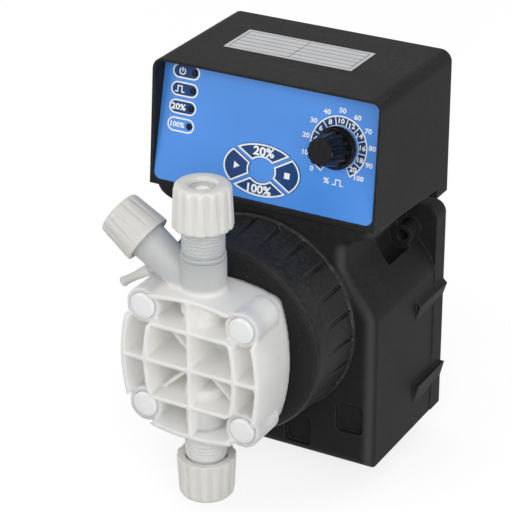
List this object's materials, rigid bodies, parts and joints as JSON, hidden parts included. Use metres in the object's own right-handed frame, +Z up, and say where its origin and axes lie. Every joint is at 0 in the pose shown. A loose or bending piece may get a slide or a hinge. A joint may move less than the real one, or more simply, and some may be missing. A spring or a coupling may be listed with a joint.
{
  "type": "diaphragm metering pump",
  "caption": "Wall-hung solenoid diaphragm metering pump: control case with leaning key panel and dial knob, waisted motor case, slotted collar, ribbed head, hose valves and bleed valve.",
  "frame": {"origin": "midway between the two wall screw holes, on the wall face", "axes": "+Z up, -Y out of the wall towards the pump head, +X to the right of someone facing the pump"},
  "size_m": [0.1298, 0.154, 0.2141],
  "materials": {
    "case_plastic": "fine textured",
    "collar_plastic": "satin",
    "black_rubber": "matt",
    "plated_steel": "plated",
    "silver_label": "satin foil",
    "panel_plate_plastic": "smooth",
    "blue_overlay": "printed film",
    "navy_keys": "printed film, domed",
    "lamp_lens": "clear over dark",
    "circuit_laminate": "solder mask",
    "terminal_plastic": "moulded",
    "capacitor_sleeve": "shrunk sleeve",
    "potentiometer_metal": "plated",
    "knob_plastic": "satin black",
    "magnet_iron": "turned and plated",
    "bobbin_plastic": "moulded",
    "enamelled_copper": "enamelled wire",
    "spring_steel": "bright",
    "brass_guide": "turned",
    "flange_plastic": "moulded",
    "white_diaphragm": "waxy",
    "natural_plastic": "translucent, waxy",
    "white_caps": "smooth",
    "seat_plastic": "machined",
    "ceramic_ball": "polished ceramic",
    "gland_plastic": "moulded"
  },
  "bodies": {
    "housing": {"lower_case": "case_plastic", "control_case": "case_plastic", "head_collar": "collar_plastic", "case_gasket": "black_rubber", "valve_seals": "black_rubber", "stop_bumper": "black_rubber", "case_screws": "plated_steel", "board_screws": "plated_steel", "yoke_screws": "plated_steel", "collar_screws": "plated_steel", "head_screws": "plated_steel", "rating_label": "silver_label", "panel_plate": "panel_plate_plastic", "front_overlay": "blue_overlay", "led_lenses": "lamp_lens", "circuit_board": "circuit_laminate", "terminal_block": "terminal_plastic", "capacitor": "capacitor_sleeve", "potentiometer": "potentiometer_metal", "potentiometer_nut": "potentiometer_metal", "yoke": "magnet_iron", "pole_plate": "magnet_iron", "pole_core": "magnet_iron", "coil_bobbin": "bobbin_plastic", "coil_winding": "enamelled_copper", "return_spring": "spring_steel", "guide_tube": "brass_guide", "rod_bush": "brass_guide", "backing_flange": "flange_plastic", "diaphragm": "white_diaphragm", "pump_head": "natural_plastic", "discharge_valve_body": "natural_plastic", "suction_valve_body": "natural_plastic", "bleed_nipple": "natural_plastic", "discharge_hose_cone": "natural_plastic", "suction_hose_cone": "natural_plastic", "screw_caps": "white_caps", "discharge_seat": "seat_plastic", "suction_seat": "seat_plastic", "cable_gland": "gland_plastic", "gland_nut": "gland_plastic", "gland_locknut": "gland_plastic", "level_socket": "gland_plastic"},
    "plunger": {"plunger": "magnet_iron", "push_rod": "spring_steel"},
    "knob": {"control_knob": "knob_plastic", "potentiometer_shaft": "potentiometer_metal"},
    "key_right": {"key_right": "navy_keys"},
    "key_top": {"key_top": "navy_keys"},
    "key_left": {"key_left": "navy_keys"},
    "key_bottom": {"key_bottom": "navy_keys"},
    "discharge_ball": {"discharge_ball": "ceramic_ball"},
    "suction_ball": {"suction_ball": "ceramic_ball"},
    "discharge_clamp": {"discharge_clamp_ring": "natural_plastic"},
    "discharge_nut": {"discharge_nut": "natural_plastic"},
    "suction_clamp": {"suction_clamp_ring": "natural_plastic"},
    "suction_nut": {"suction_nut": "natural_plastic"},
    "bleed_needle": {"bleed_needle": "natural_plastic"},
    "bleed_knob": {"bleed_knob": "natural_plastic"}
  },
  "joints": [
    {"name": "plunger_stroke", "type": "slide", "parent": "housing", "child": "plunger", "axis": [0, -1, 0], "range_m": [0, 0.00125], "stiffness_N_per_m": 4000, "springref_m": -0.003, "deforming": ["return_spring", "diaphragm"]},
    {"name": "knob_turn", "type": "hinge", "parent": "housing", "child": "knob", "pos_m": [0.0384, -0.07521, 0.06617], "axis": [0, -0.9703, 0.2419], "range_deg": [-135, 135]},
    {"name": "key_right_press", "type": "slide", "parent": "housing", "child": "key_right", "axis": [0, 0.9703, -0.2419], "range_m": [0, 0.0004], "stiffness_N_per_m": 3000, "springref_m": -0.0005},
    {"name": "key_top_press", "type": "slide", "parent": "housing", "child": "key_top", "axis": [0, 0.9703, -0.2419], "range_m": [0, 0.0004], "stiffness_N_per_m": 3000, "springref_m": -0.0005},
    {"name": "key_left_press", "type": "slide", "parent": "housing", "child": "key_left", "axis": [0, 0.9703, -0.2419], "range_m": [0, 0.0004], "stiffness_N_per_m": 3000, "springref_m": -0.0005},
    {"name": "key_bottom_press", "type": "slide", "parent": "housing", "child": "key_bottom", "axis": [0, 0.9703, -0.2419], "range_m": [0, 0.0004], "stiffness_N_per_m": 3000, "springref_m": -0.0005},
    {"name": "discharge_ball_lift", "type": "slide", "parent": "housing", "child": "discharge_ball", "axis": [0, 0, 1], "range_m": [0, 0.0015]},
    {"name": "suction_ball_lift", "type": "slide", "parent": "housing", "child": "suction_ball", "axis": [0, 0, 1], "range_m": [0, 0.0015]},
    {"name": "discharge_clamp_travel", "type": "slide", "parent": "housing", "child": "discharge_clamp", "axis": [0, 0, 1], "range_m": [0, 0.00363]},
    {"name": "discharge_nut_turn", "type": "hinge", "parent": "discharge_clamp", "child": "discharge_nut", "pos_m": [0, -0.138, 0.0535], "axis": [0, 0, 1], "range_deg": [0, 720]},
    {"name": "suction_clamp_travel", "type": "slide", "parent": "housing", "child": "suction_clamp", "axis": [0, 0, -1], "range_m": [0, 0.00363]},
    {"name": "suction_nut_turn", "type": "hinge", "parent": "suction_clamp", "child": "suction_nut", "pos_m": [0, -0.138, -0.0924], "axis": [0, 0, -1], "range_deg": [0, 720]},
    {"name": "bleed_needle_travel", "type": "slide", "parent": "housing", "child": "bleed_needle", "axis": [-0.8192, 0, 0.5736], "range_m": [0, 0.00187]},
    {"name": "bleed_knob_turn", "type": "hinge", "parent": "bleed_needle", "child": "bleed_knob", "pos_m": [-0.03277, -0.138, 0.02934], "axis": [-0.8192, 0, 0.5736], "range_deg": [0, 540]}
  ],
  "couplings": [
    {"joint": "discharge_nut_turn", "follows": "discharge_clamp_travel", "rad_per_m": 3463.7},
    {"joint": "suction_nut_turn", "follows": "suction_clamp_travel", "rad_per_m": 3463.7},
    {"joint": "bleed_knob_turn", "follows": "bleed_needle_travel", "rad_per_m": 5026.5}
  ]
}
